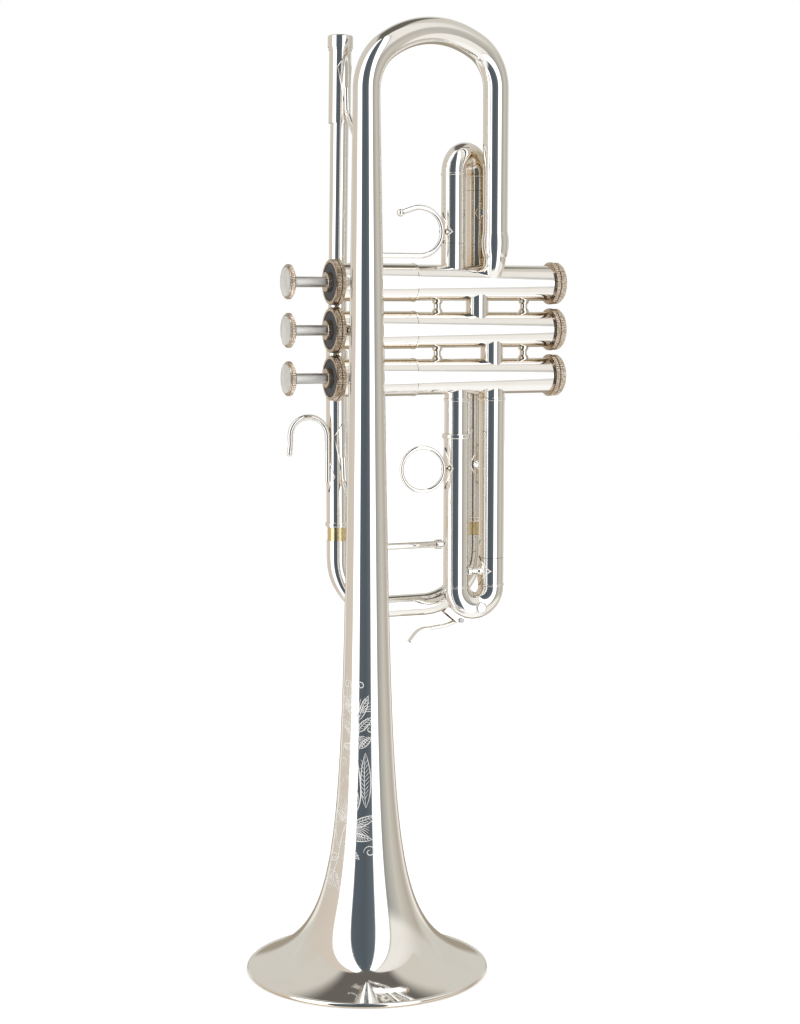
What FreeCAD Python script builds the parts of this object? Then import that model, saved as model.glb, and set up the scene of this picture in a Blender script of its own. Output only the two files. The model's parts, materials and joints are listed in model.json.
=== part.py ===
import FreeCAD, Part
import math
import os
from FreeCAD import Placement, Rotation, Vector

# Piston-valve trumpet standing on its bell. Millimetres, +Z up along the bell axis,
# origin at the centre of the bell mouth on the plane the rim rests on.
# +X runs along the valves from finger buttons to bottom caps, +Y from bell to leadpipe.

# Bell
RIM_BEAD_R = 1.3
RIM_CENTRE_R = 60.6
RIM_LAND = 0.12
RIM_WIRE_R = 0.85
BELL_WALL = 0.5
BELL_THROAT_R = 14.1
BELL_TAPER = 0.0164
FLARE_SHORT_R = 28.9
FLARE_SHORT_LENGTH = 12.6
FLARE_LONG_R = 23.0
FLARE_LONG_LENGTH = 43.0
BELL_STEM_TOP = 441.0
STEM_CORNER_Z = 461.1
CROWN_CORNER_Z = 488.1
TAIL_CORNER_Z = 466.6
CROWN_PLACE = 0.49
STEM_BEND_R = 27.0
CROWN_BEND_R = 59.0
TAIL_BEND_R = 22.8
TAIL_X = 81.45
TAIL_Y = 22.0
TAIL_R = 6.5
TAIL_END = 378.7
KNUCKLE_R = 5.7
KNUCKLE_RISE = 10.7

# Valves
VALVE_Y = 31.0
VALVE_1_Z = 352.6
VALVE_PITCH = 24.6
CASING_TOP_X = -3.0
CASING_SEAM_X = 38.5
CASING_END_X = 121.0
CASING_UPPER_R = 9.75
CASING_R = 9.35
CASING_BORE_R = 8.35
CASING_UPPER_BORE_R = 8.75
CAP_FACE_X = -8.0
TOP_CAP_R = 12.0
BOTTOM_CAP_R = 11.0
KNURL_HEIGHT = 0.35
STEM_R = 2.7
BUTTON_FACE_X = -32.0
BUTTON_R = 8.6
PEARL_R = 7.5
PISTON_R = 8.3
PISTON_X = 40.0
PISTON_LENGTH = 58.0
BARREL_R = 7.2
BARREL_TOP_X = 2.5
GUIDE_X = 35.0
GUIDE_THICKNESS = 3.0
VALVE_STROKE = 16.5
PORT_R = 5.0

# Leadpipe side
LEAD_Y = 53.0
SLIDE_UPPER_X = 4.3
SLIDE_LOWER_X = 83.5
LEADPIPE_FOOT = 310.0
RECEIVER_TOP = 479.8
RECEIVER_LEAN = 2.5
RECEIVER_R = 5.75
RECEIVER_SOCKET_R = 5.35
RECEIVER_SOCKET_DEPTH = 25.0
LEADPIPE_R = 4.75

# Main tuning slide, drawn out a little from its ferrules
SLIDE_DRAW = 7.0
SLIDE_RING_Z = 223.6
UPPER_OUTER_R = 5.65
UPPER_INNER_R = 5.15
LOWER_OUTER_R = 6.5
LOWER_INNER_R = 6.0
SLIDE_GAP = 0.05
SEAM_GAP = 0.3
BOW_LEVEL = 179.2
UPPER_BEND_R = 27.4
LOWER_BEND_R = 29.4
BOW_UPPER_R = 5.5
BOW_LOWER_R = 6.2

# Water key on the slide bow's lower corner
WATER_KEY_PIVOT = Vector(75.7, LEAD_Y, 169.3)
NIPPLE_ANGLE = 42.0

# Third valve slide
THIRD_UPPER_X = 63.8
THIRD_LOWER_X = 84.5
THIRD_BOW_Z = 190.4
THIRD_RING_Z = 273.6
THIRD_SEAM_Z = 206.3
THIRD_OUTER_R = 6.75
THIRD_INNER_R = 6.2

# First valve slide, its far leg set back towards the leadpipe
FIRST_NEAR_X = 61.5
FIRST_FAR_X = 79.2
FIRST_FAR_Y = 39.1
FIRST_BOW_Z = 410.0
FIRST_SEAM_Z = 373.0
FIRST_FAR_SEAM_Z = 401.0
FIRST_OUTER_R = 6.3
FIRST_INNER_R = 5.8

# Second valve slide, pointing away from the bell
SECOND_X = (63.0, 83.0)
SECOND_SEAM_Y = 55.0
SECOND_BOW_Y = 58.5

TUBE_WALL = 0.5
CROOK_SOCKET = 2.0
SOLDER_FLANGE = 0.6

X_DIR = Vector(1, 0, 0)
Y_DIR = Vector(0, 1, 0)
Z_DIR = Vector(0, 0, 1)


def save(shape, node):
    shape.exportStep("parts/" + node + ".step")


def cylinder(radius, start, end):
    """Round bar between two points."""
    along = end - start
    return Part.makeCylinder(radius, along.Length, start, along)


def ring(outer, inner, start, end):
    """Round tube between two points."""
    return cylinder(outer, start, end).cut(cylinder(inner, start, end))


def cone(start_radius, end_radius, start, end):
    along = end - start
    return Part.makeCone(start_radius, end_radius, along.Length, start, along)


def fuse(shapes):
    whole = shapes[0]
    for shape in shapes[1:]:
        whole = whole.fuse(shape)
    return whole.removeSplitter()


def bent_wire(corners, bends):
    """Centre line through the corners, each inner corner rounded to its bend radius."""
    edges = []
    here = corners[0]
    for i, bend in enumerate(bends, start=1):
        into = (corners[i] - corners[i - 1]).normalize()
        away = (corners[i + 1] - corners[i]).normalize()
        turn = into.getAngle(away)
        reach = bend * math.tan(turn / 2)
        first = corners[i] - into * reach
        last = corners[i] + away * reach
        inward = (away - into).normalize()
        centre = corners[i] + inward * (bend / math.cos(turn / 2))
        if here.distanceToPoint(first) > 0.001:
            edges.append(Part.makeLine(here, first))
        edges.append(Part.Arc(first, centre - inward * bend, last).toShape())
        here = last
    if here.distanceToPoint(corners[-1]) > 0.001:
        edges.append(Part.makeLine(here, corners[-1]))
    return Part.Wire(edges)


def wire_rod(path, radius, end_radius=None):
    """Round bar swept along a centre line, tapering evenly if an end radius is given."""
    first = path.Edges[0]
    last = path.Edges[-1]
    start = first.valueAt(first.FirstParameter)
    end = last.valueAt(last.LastParameter)
    sections = [Part.Wire(Part.makeCircle(radius, start, first.tangentAt(first.FirstParameter)))]
    if end_radius is not None:
        circle = Part.makeCircle(end_radius, end, last.tangentAt(last.LastParameter))
        sections.append(Part.Wire(circle))
    return path.makePipeShell(sections, True, True)


def wire_tube(path, radius, wall, end_radius=None):
    """Open tube swept along a centre line."""
    end_bore = None
    if end_radius is not None:
        end_bore = end_radius - wall
    return wire_rod(path, radius, end_radius).cut(wire_rod(path, radius - wall, end_bore))


def oriented(shape, origin, along, outward):
    """Move a shape drawn with its tube along Z and its front towards +X into place."""
    side = along.cross(outward)
    turn = Rotation(outward, side, along, "ZXY")
    placed = shape.copy()
    placed.Placement = Placement(origin, turn).multiply(shape.Placement)
    return placed


def pointed_flange(tube_radius, up, down, half_width):
    """Thin kite-shaped plate wrapped on a tube, the soldered foot of a brace or hook."""
    front = tube_radius + 5
    kite = Part.makePolygon([
        Vector(0, 0, up),
        Vector(0, half_width, 0),
        Vector(0, 0, -down),
        Vector(0, -half_width, 0),
        Vector(0, 0, up),
    ])
    plate = Part.Face(kite).extrude(Vector(front, 0, 0))
    low = Vector(0, 0, -down - 1)
    high = Vector(0, 0, up + 1)
    return plate.common(ring(tube_radius + SOLDER_FLANGE, tube_radius, low, high))


def bead(radius, tube_radius, centre, along, width):
    """Half-round reinforcing ring round a tube."""
    start = centre - along * (width / 2)
    end = centre + along * (width / 2)
    band = ring(radius, tube_radius, start, end)
    rim = [edge for edge in band.Edges if abs(edge.Length - 2 * math.pi * radius) < 0.01]
    return band.makeFillet(min(width / 2 - 0.05, radius - tube_radius - 0.02), rim[:2])


def spool(start, end, end_radius, waist_radius):
    """Turned baluster post with a collar at each end."""
    along = (end - start).normalize()
    length = (end - start).Length
    collar = length * 0.2
    ease = length * 0.14
    outline = [
        (0, 0),
        (end_radius, 0),
        (end_radius, collar),
        (waist_radius, collar + ease),
        (waist_radius, length - collar - ease),
        (end_radius, length - collar),
        (end_radius, length),
        (0, length),
        (0, 0),
    ]
    face = Part.Face(Part.makePolygon([Vector(r, 0, h) for r, h in outline]))
    post = face.revolve(Vector(0, 0, 0), Z_DIR, 360)
    post.Placement = Placement(start, Rotation(Z_DIR, along))
    return post


def valve_z(number):
    return VALVE_1_Z - VALVE_PITCH * (number - 1)


def on_valve(number, x):
    return Vector(x, VALVE_Y, valve_z(number))


# ------------------------------------------------------------------ bell

def bell_radius(height):
    """Outer radius of the bell: a slow taper with a long and a short flare added."""
    long_flare = FLARE_LONG_R * math.exp(-height / FLARE_LONG_LENGTH)
    short_flare = FLARE_SHORT_R * math.exp(-height / FLARE_SHORT_LENGTH)
    return BELL_THROAT_R - BELL_TAPER * height + long_flare + short_flare


def bell_outline(inset):
    """Curve a set distance inside the bell's outer surface, and its end points."""
    steps = 16
    start = 2 * RIM_BEAD_R - RIM_LAND - BELL_WALL
    points = []
    for i in range(steps + 1):
        height = start + (BELL_STEM_TOP - start) * (i / steps) ** 2.4
        slope = (bell_radius(height + 0.01) - bell_radius(height - 0.01)) / 0.02
        if i == steps:
            slope = 0
        square = math.hypot(1, slope)
        points.append(Vector(bell_radius(height) - inset / square, 0, height + inset * slope / square))
    curve = Part.BSplineCurve()
    curve.interpolate(points)
    return curve.toShape(), points[0], points[-1]


def bell_sheet():
    outside, outer_foot, outer_top = bell_outline(0)
    inside, inner_foot, inner_top = bell_outline(BELL_WALL)
    top = Part.makeLine(outer_top, inner_top)
    foot = Part.makeLine(inner_foot, outer_foot)
    outline = Part.Wire([outside, top, inside, foot])
    return Part.Face(outline).revolve(Vector(0, 0, 0), Z_DIR, 360)


def rim_ring(radius):
    return Part.makeTorus(RIM_CENTRE_R, radius, Vector(0, 0, RIM_BEAD_R - RIM_LAND))


def tail_axis(height):
    return Vector(TAIL_X, TAIL_Y, height)


def bell_bow_path():
    """Stem up, over a flattened crown and down the tail, which stands behind the stem."""
    crown = Vector(TAIL_X * CROWN_PLACE, TAIL_Y * CROWN_PLACE, CROWN_CORNER_Z)
    corners = [Vector(0, 0, BELL_STEM_TOP), Vector(0, 0, STEM_CORNER_Z), crown,
               tail_axis(TAIL_CORNER_Z), tail_axis(TAIL_END)]
    return bent_wire(corners, [STEM_BEND_R, CROWN_BEND_R, TAIL_BEND_R])


def bell():
    """One sheet from rolled rim to tail: flare, stem and bow."""
    curl = rim_ring(RIM_BEAD_R).cut(Part.makeCylinder(RIM_CENTRE_R + 5, 1, Vector(0, 0, -1)))
    bow = wire_tube(bell_bow_path(), bell_radius(BELL_STEM_TOP), BELL_WALL, TAIL_R)
    return fuse([bell_sheet(), bow, curl]).cut(rim_ring(RIM_WIRE_R))


def bell_rim_wire():
    return rim_ring(RIM_WIRE_R)


def tail_ferrule():
    """Barrel-shaped sleeve below the tail's end, drawn down to the knuckle."""
    lip = Vector(6.65, 0, 0)
    foot = Vector(6.1, 0, -12.7)
    barrel = Part.Arc(lip, Vector(7.2, 0, -5.0), foot).toShape()
    rest = Part.makePolygon([foot, Vector(0, 0, foot.z), Vector(0, 0, 0), lip])
    sleeve = Part.Face(Part.Wire([barrel] + rest.Edges)).revolve(Vector(0, 0, 0), Z_DIR, 360)
    sleeve.translate(tail_axis(TAIL_END))
    return sleeve


def bell_tail_elbow():
    """Ferrule over the bell tail with the knuckle that turns into the valve."""
    corner = tail_axis(VALVE_1_Z + KNUCKLE_RISE)
    path = bent_wire([tail_axis(TAIL_END), corner, on_valve(1, TAIL_X)], [10.0])
    elbow = fuse([wire_rod(path, KNUCKLE_R), tail_ferrule()]).cut(wire_rod(path, PORT_R))
    return elbow.cut(cylinder(CASING_R, on_valve(1, 50), on_valve(1, 100)))


# ------------------------------------------------------------------ valves

def knurled_band(radius, start_x, width, teeth):
    """Straight-knurled band round the X axis: a disc with rounded teeth cut by vees."""
    pitch = 2 * math.pi / teeth
    root = radius - KNURL_HEIGHT
    points = []
    for i in range(teeth):
        points.append(Vector(start_x, root * math.cos(i * pitch), root * math.sin(i * pitch)))
        half = (i + 0.5) * pitch
        points.append(Vector(start_x, radius * math.cos(half), radius * math.sin(half)))
    points.append(points[0])
    return Part.Face(Part.makePolygon(points)).extrude(Vector(width, 0, 0))


def turned(outline):
    """Solid of revolution about X from (x, radius) points."""
    points = [Vector(x, r, 0) for x, r in outline]
    points.append(points[0])
    return Part.Face(Part.makePolygon(points)).revolve(Vector(0, 0, 0), X_DIR, 360)


def at_valve(shape, number):
    placed = shape.copy()
    placed.translate(on_valve(number, 0))
    return placed


def port_points(number):
    """Open ports of each casing as (x, sideways, up) directions at their heights."""
    down = -Z_DIR
    if number == 1:
        knuckle = Vector(0, TAIL_Y - VALVE_Y, KNUCKLE_RISE).normalize()
        return [(TAIL_X, knuckle), (FIRST_NEAR_X, Z_DIR), (FIRST_FAR_X, Vector(0, 0.6, 0.8)),
                (75.0, down)]
    if number == 2:
        return [(75.0, Z_DIR), (83.7, down), (SECOND_X[0], Y_DIR), (SECOND_X[1], Y_DIR)]
    return [(83.7, Z_DIR), (SLIDE_LOWER_X, Y_DIR), (THIRD_UPPER_X, down), (THIRD_LOWER_X, down)]


def valve_casing(number):
    upper = ring(CASING_UPPER_R, CASING_UPPER_BORE_R,
                 Vector(CASING_TOP_X, 0, 0), Vector(CASING_SEAM_X - 0.5, 0, 0))
    ledge = ring(CASING_UPPER_R + 0.25, CASING_BORE_R,
                 Vector(CASING_SEAM_X - 0.5, 0, 0), Vector(CASING_SEAM_X + 0.5, 0, 0))
    lower = ring(CASING_R, CASING_BORE_R,
                 Vector(CASING_SEAM_X + 0.5, 0, 0), Vector(CASING_END_X, 0, 0))
    casing = fuse([upper, ledge, lower])
    for x, way in port_points(number):
        casing = casing.cut(cylinder(PORT_R, Vector(x, 0, 0), Vector(x, 0, 0) + way * 15))
    return at_valve(casing, number)


def top_cap():
    plate = turned([(-7.2, 2.8), (-3, 2.8), (-3, 11.2), (CAP_FACE_X, 11.2), (CAP_FACE_X, 9.9),
                    (-5.5, 9.9), (-5.5, 5.0), (-7.2, 5.0)])
    hub = ring(5.0, STEM_R + 0.1, Vector(-10.6, 0, 0), Vector(-3, 0, 0))
    hub = hub.cut(turned([(-11, 4.4), (-10.2, 5.2), (-11, 5.2)]))
    spigot = ring(CASING_UPPER_BORE_R, 6.6, Vector(-3, 0, 0), Vector(0.5, 0, 0))
    front = knurled_band(TOP_CAP_R - 0.3, -7.6, 2.0, 54)
    back = knurled_band(TOP_CAP_R, -5.1, 1.9, 54)
    hollow = cylinder(10.5, Vector(-9, 0, 0), Vector(-2, 0, 0))
    return fuse([plate, hub, spigot, front.cut(hollow), back.cut(hollow)])


def bottom_cap():
    cup = turned([(117.2, CASING_R), (CASING_END_X, CASING_R), (CASING_END_X, 2.0), (123.2, 2.0),
                  (123.2, 7.5), (124.0, 8.5), (124.0, 9.6), (123.4, 10.3), (117.2, 10.3)])
    first = knurled_band(BOTTOM_CAP_R + 0.2, 117.6, 2.1, 50)
    second = knurled_band(BOTTOM_CAP_R, 120.4, 2.3, 50)
    hollow = cylinder(10.0, Vector(116, 0, 0), Vector(125, 0, 0))
    return fuse([cup, first.cut(hollow), second.cut(hollow)])


def cap_felt():
    return ring(9.8, 5.1, Vector(-7.7, 0, 0), Vector(-5.5, 0, 0))


def cap_cork():
    return ring(6.2, STEM_R + 0.3, Vector(0.0, 0, 0), Vector(2.2, 0, 0))


def valve_guide():
    """Cross bar whose ears sit on the casing ledge and key the piston."""
    start = Vector(GUIDE_X, 0, 0)
    end = Vector(GUIDE_X + GUIDE_THICKNESS, 0, 0)
    hub = cylinder(5.9, start, end)
    ears = Part.makeBox(GUIDE_THICKNESS, 3.0, 2 * CASING_UPPER_BORE_R,
                        Vector(GUIDE_X, -1.5, -CASING_UPPER_BORE_R))
    ears = ears.common(cylinder(CASING_UPPER_BORE_R - 0.05, start, end))
    return fuse([hub, ears])


def piston(number):
    """Hollow piston with its slotted spring barrel and brazed air passages."""
    start = Vector(PISTON_X, 0, 0)
    end = Vector(PISTON_X + PISTON_LENGTH, 0, 0)
    solid = cylinder(PISTON_R, start, end)
    hollow = cylinder(PISTON_R - 0.8, start + X_DIR, end - X_DIR)
    ports = port_points(number)
    rest_ports = [ports[0], ports[1] if number != 1 else ports[3]]
    spread = sum(x for x, _ in rest_ports) / 2
    bores = [(Vector(spread, 0, 0), Vector(x, 0, 0) + way * 15) for x, way in rest_ports]
    for x in (spread - VALVE_STROKE, spread - VALVE_STROKE - 13):
        bores.append((Vector(x, 0, -15), Vector(x, 0, 15)))
    passages = [cylinder(PORT_R + 0.6, a, b).common(solid) for a, b in bores]
    passages += [Part.makeSphere(PORT_R + 0.6, Vector(spread, 0, 0))]
    body = fuse([solid.cut(hollow)] + passages)
    for a, b in bores:
        body = body.cut(cylinder(PORT_R, a, b))
    body = body.cut(Part.makeSphere(PORT_R, Vector(spread, 0, 0)))
    barrel = ring(BARREL_R, BARREL_R - 0.9, Vector(BARREL_TOP_X, 0, 0), start)
    slot_start = GUIDE_X - VALVE_STROKE - 1.5
    slot = Part.makeBox(PISTON_X - 0.8 - slot_start, 3.6, 30, Vector(slot_start, -1.8, -15))
    return at_valve(fuse([body, barrel.cut(slot)]), number)


def stem():
    """Stem from the button down to the plug screwed into the spring barrel."""
    rod = cylinder(STEM_R, Vector(-30.6, 0, 0), Vector(BARREL_TOP_X, 0, 0))
    plug = cylinder(BARREL_R - 0.9, Vector(BARREL_TOP_X, 0, 0), Vector(BARREL_TOP_X + 2.5, 0, 0))
    return fuse([rod, plug])


def button():
    """Finger button: knurled rim, recess for the pearl, short neck on the stem."""
    face = BUTTON_FACE_X
    disc = turned([(face + 0.3, PEARL_R + 0.05), (face, PEARL_R + 0.25), (face, 8.0), (face + 0.4, 8.3),
                   (face + 2.5, 8.3), (face + 3.1, 7.6), (face + 3.6, 4.2), (face + 4.6, 3.7),
                   (face + 4.6, STEM_R), (face + 1.4, STEM_R), (face + 1.4, PEARL_R + 0.05)])
    rim = knurled_band(BUTTON_R + 0.25, face + 0.7, 1.7, 46)
    rim = rim.cut(cylinder(8.0, Vector(face, 0, 0), Vector(face + 4, 0, 0)))
    return fuse([disc, rim])


def pearl():
    """Slightly domed inlay."""
    dome_r = 42.0
    crown = BUTTON_FACE_X - 0.75
    disc = cylinder(PEARL_R, Vector(crown, 0, 0), Vector(BUTTON_FACE_X + 1.4, 0, 0))
    return disc.common(Part.makeSphere(dome_r, Vector(crown + dome_r, 0, 0)))


def valve_spring():
    """Compression spring between the guide and the barrel plug."""
    wire_r = 0.45
    start = BARREL_TOP_X + 2.5 + wire_r + 0.05
    end = GUIDE_X - wire_r - 0.05
    spring = coil(5.1, wire_r, 7, end - start)
    spring.Placement = Placement(Vector(start, 0, 0), Rotation(Z_DIR, X_DIR))
    return spring


def spacer_posts():
    """Spool-shaped posts between neighbouring casings."""
    posts = []
    for number in (1, 2):
        for x in (52.5, 103.0):
            start = on_valve(number, x) - Vector(0, 0, CASING_R - 0.6)
            end = on_valve(number + 1, x) + Vector(0, 0, CASING_R - 0.6)
            post = spool(start, end, 2.7, 1.9)
            for side in (number, number + 1):
                post = post.cut(cylinder(CASING_R, on_valve(side, 40), on_valve(side, 115)))
            posts.append(post)
    return Part.makeCompound(posts)


def crossover_tubes():
    """Short air tubes joining each casing to the next, standing a little proud in front."""
    tubes = []
    for number, x in ((1, 75.0), (2, 83.7)):
        start = on_valve(number, x) - Y_DIR * 1.2
        end = on_valve(number + 1, x) - Y_DIR * 1.2
        tube = ring(5.9, PORT_R, start, end)
        for side in (number, number + 1):
            tube = tube.cut(cylinder(CASING_R, on_valve(side, 40), on_valve(side, 115)))
        tubes.append(tube)
    return Part.makeCompound(tubes)


# ------------------------------------------------------------------ leadpipe

def lead_axis(height):
    """Point on the leadpipe axis, which leans slightly towards the bottom caps."""
    rise = (height - LEADPIPE_FOOT) / (RECEIVER_TOP - LEADPIPE_FOOT)
    return Vector(SLIDE_UPPER_X + RECEIVER_LEAN * rise, LEAD_Y, height)


def leadpipe():
    top = RECEIVER_TOP - RECEIVER_SOCKET_DEPTH - 2.0
    pipe = ring(LEADPIPE_R, LEADPIPE_R - 0.55, lead_axis(LEADPIPE_FOOT), lead_axis(top))
    return pipe


def mouthpiece_receiver():
    """Sleeve with a collar at the mouth, tapered socket and the leadpipe let in below."""
    mouth = lead_axis(RECEIVER_TOP)
    floor = lead_axis(RECEIVER_TOP - RECEIVER_SOCKET_DEPTH)
    step = lead_axis(RECEIVER_TOP - RECEIVER_SOCKET_DEPTH - 2.0)
    foot = lead_axis(435.0)
    sleeve = cylinder(RECEIVER_R, foot, mouth)
    collar = cylinder(6.6, lead_axis(RECEIVER_TOP - 6.2), lead_axis(RECEIVER_TOP - 0.6))
    lip = cone(6.6, 6.1, lead_axis(RECEIVER_TOP - 0.6), mouth)
    shoulder = cylinder(6.15, lead_axis(RECEIVER_TOP - 7.6), lead_axis(RECEIVER_TOP - 6.2))
    body = fuse([sleeve, collar, lip, shoulder])
    taper = RECEIVER_SOCKET_DEPTH / 40
    body = body.cut(cone(RECEIVER_SOCKET_R - taper, RECEIVER_SOCKET_R, floor, mouth))
    body = body.cut(cylinder(LEADPIPE_R - 0.55, step, floor))
    return body.cut(cylinder(LEADPIPE_R, lead_axis(430.0), step))


def main_slide_upper_outer():
    """Outer tube below the leadpipe: closed round the pipe's foot, ringed at its mouth."""
    foot = Vector(SLIDE_UPPER_X, LEAD_Y, SLIDE_RING_Z)
    top = Vector(SLIDE_UPPER_X, LEAD_Y, LEADPIPE_FOOT)
    tube = ring(UPPER_OUTER_R, UPPER_INNER_R + SLIDE_GAP, foot, top)
    cup = ring(UPPER_OUTER_R, LEADPIPE_R + 0.12, top, top + Z_DIR * 7)
    seat = ring(UPPER_INNER_R + 0.4, LEADPIPE_R - 0.6, top - Z_DIR * 2, top)
    mouth_ring = bead(6.25, UPPER_OUTER_R, foot + Z_DIR * 1.5, Z_DIR, 2.4)
    body = fuse([tube, cup, seat, mouth_ring])
    return body.cut(cylinder(LEADPIPE_R, lead_axis(LEADPIPE_FOOT), lead_axis(LEADPIPE_FOOT + 20)))


def main_slide_lower_outer():
    """Outer tube of the lower leg, turning at its top into the rear of casing 3."""
    foot = Vector(SLIDE_LOWER_X, LEAD_Y, SLIDE_RING_Z)
    turn = Vector(SLIDE_LOWER_X, LEAD_Y, valve_z(3))
    path = bent_wire([foot, turn, on_valve(3, SLIDE_LOWER_X)], [10.0])
    tube = wire_rod(path, LOWER_OUTER_R)
    tube = tube.cut(wire_rod(path, PORT_R + 0.3))
    sleeve = cylinder(LOWER_INNER_R + SLIDE_GAP, foot, foot + Z_DIR * 69.5)
    tube = tube.cut(sleeve)
    tube = tube.cut(cylinder(CASING_R, on_valve(3, 40), on_valve(3, 115)))
    return fuse([tube, bead(7.1, LOWER_OUTER_R, foot + Z_DIR * 1.5, Z_DIR, 2.4)])


def brace_arm(tube_point, along, tube_radius, bell_point):
    """Kite flange on a leadpipe-side tube whose foot runs on as a rod to the bell stem."""
    kite_down = 24.0
    outward = along.cross(Vector(-0.98, -0.18, 0)).normalize()
    kite = oriented(pointed_flange(tube_radius, 7.6, kite_down, 4.2), tube_point, along, outward)
    root = tube_point + outward * (tube_radius + 0.9) - along * (kite_down * 0.45)
    knee = tube_point + outward * (tube_radius + 1.9) - along * kite_down
    arm = wire_rod(bent_wire([root, knee, bell_point], [3.0]), 1.6)
    return fuse([kite, arm]).cut(cylinder(tube_radius, tube_point - along * 80, tube_point + along * 80))


def bell_foot(height):
    """Small pointed flange on the rear of the bell stem where a brace lands."""
    radius = bell_radius(height)
    low = Vector(0, 0, height - 9)
    high = Vector(0, 0, height + 9)
    kite = Part.makePolygon([
        Vector(0, 0, height + 8),
        Vector(4, 0, height),
        Vector(0, 0, height - 8),
        Vector(-4, 0, height),
        Vector(0, 0, height + 8),
    ])
    plate = Part.Face(kite).extrude(Vector(0, radius + 4, 0))
    outer = cone(bell_radius(low.z) + 0.7, bell_radius(high.z) + 0.7, low, high)
    inner = cone(bell_radius(low.z), bell_radius(high.z), low, high)
    return plate.common(outer.cut(inner))


def trimmed_to_bell(shape, low, high):
    """Cut away whatever lies inside the bell stem, which is a plain cone between two heights."""
    stem = cone(bell_radius(low), bell_radius(high), Vector(0, 0, low), Vector(0, 0, high))
    return shape.cut(stem)


def leadpipe_braces():
    """The brace at the receiver and the one at the slide tube below the valves."""
    lean = (lead_axis(RECEIVER_TOP) - lead_axis(LEADPIPE_FOOT)).normalize()
    braces = []
    tube = Vector(SLIDE_UPPER_X, LEAD_Y, 272.0)
    for point, along, radius, landing in ((lead_axis(463.5), lean, RECEIVER_R, 412.0),
                                          (tube, Z_DIR, UPPER_OUTER_R, 224.0)):
        arm = brace_arm(point, along, radius, Vector(0, 2, landing))
        foot = bell_foot(landing + 2.5)
        braces.append(trimmed_to_bell(fuse([arm, foot]), landing - 20, landing + 20))
    return Part.makeCompound(braces)


def bell_valve_brace():
    """Post between the bell stem and the middle casing, with long pointed feet."""
    z = valve_z(2)
    centre = Vector(8.5, VALVE_Y, z)
    kite = pointed_flange(CASING_UPPER_R, 18.5, 10.5, 5.5)
    foot = oriented(kite, centre, X_DIR, -Y_DIR)
    post = spool(Vector(0, 5, z), Vector(0, VALVE_Y - 7, z), 3.0, 2.2)
    body = fuse([foot, post, bell_foot(z)])
    body = body.cut(cylinder(CASING_UPPER_R, on_valve(2, -3), on_valve(2, 38)))
    return trimmed_to_bell(body, z - 15, z + 15)


def bell_tail_brace():
    """Post from the far leg of the first slide forward to the bell tail."""
    z = 389.5
    kite = pointed_flange(FIRST_OUTER_R, 10.5, 10.5, 4.4)
    leg = Vector(FIRST_FAR_X, FIRST_FAR_Y, z)
    tail = tail_axis(z)
    towards = (tail - leg).normalize()
    foot = oriented(kite, leg, Z_DIR, towards)
    post = spool(leg + towards * 5.5, tail - towards * 5.0, 2.6, 1.7)
    ends = [cylinder(FIRST_OUTER_R, leg - Z_DIR * 30, leg + Z_DIR * 30),
            cylinder(TAIL_R + 0.05, tail - Z_DIR * 10, tail + Z_DIR * 20)]
    body = fuse([foot, post])
    for end in ends:
        body = body.cut(end)
    return body


def slide_tube_brace():
    """Short post holding the third slide's outer tube off the main slide's outer tube."""
    z = 255.0
    front = Vector(THIRD_LOWER_X, VALVE_Y, z)
    rear = Vector(SLIDE_LOWER_X, LEAD_Y, z)
    away = (rear - front).normalize()
    post = spool(front + away * 6.0, rear - away * 5.8, 2.7, 1.8)
    rear_kite = oriented(pointed_flange(LOWER_OUTER_R, 11, 11, 4.2), rear, Z_DIR, -away)
    front_kite = oriented(pointed_flange(THIRD_OUTER_R, 11, 11, 4.2), front, Z_DIR, away)
    body = fuse([post, rear_kite, front_kite])
    body = body.cut(cylinder(THIRD_OUTER_R, front - Z_DIR * 20, front + Z_DIR * 20))
    return body.cut(cylinder(LOWER_OUTER_R, rear - Z_DIR * 20, rear + Z_DIR * 20))


def pinky_hook():
    """Finger hook on the slide tube: up from its foot, over and down again."""
    y = LEAD_Y - 3.0
    foot = Vector(-1.9, y + 0.6, 248.0)
    rise = Vector(-2.2, y, 282.4)
    over = Vector(-23.2, y, 282.4)
    curl = Vector(-22.8, y, 268.4)
    tip = Vector(-23.4, y, 263.6)
    wire = wire_rod(bent_wire([foot, rise, over, curl, tip], [10.2, 9.8, 10.0]), 1.45)
    end = Part.makeSphere(1.65, tip)
    kite = pointed_flange(UPPER_OUTER_R, 12.0, 8.0, 3.6)
    outward = Vector(-0.94, -0.34, 0).normalize()
    tube = Vector(SLIDE_UPPER_X, LEAD_Y, 250.5)
    plate = oriented(kite, tube, Z_DIR, outward)
    body = fuse([wire, end, plate])
    return body.cut(cylinder(UPPER_OUTER_R, tube - Z_DIR * 30, tube + Z_DIR * 50))


# ------------------------------------------------------------------ main tuning slide

def main_bow_path():
    """Flattened U: two unequal bends with a level stretch between them."""
    top = SLIDE_RING_Z - SLIDE_DRAW - 9.7
    corners = [Vector(SLIDE_UPPER_X, LEAD_Y, top), Vector(SLIDE_UPPER_X, LEAD_Y, BOW_LEVEL),
               Vector(SLIDE_LOWER_X, LEAD_Y, BOW_LEVEL), Vector(SLIDE_LOWER_X, LEAD_Y, top + 2)]
    return bent_wire(corners, [UPPER_BEND_R, LOWER_BEND_R])


def main_slide_bow():
    """Bow widening towards its lower leg, drained through the water key's nipple."""
    bow = wire_tube(main_bow_path(), BOW_UPPER_R, TUBE_WALL, BOW_LOWER_R)
    return bow.cut(off_bow(1.1, NIPPLE_ANGLE, 0, 9.0))


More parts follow.
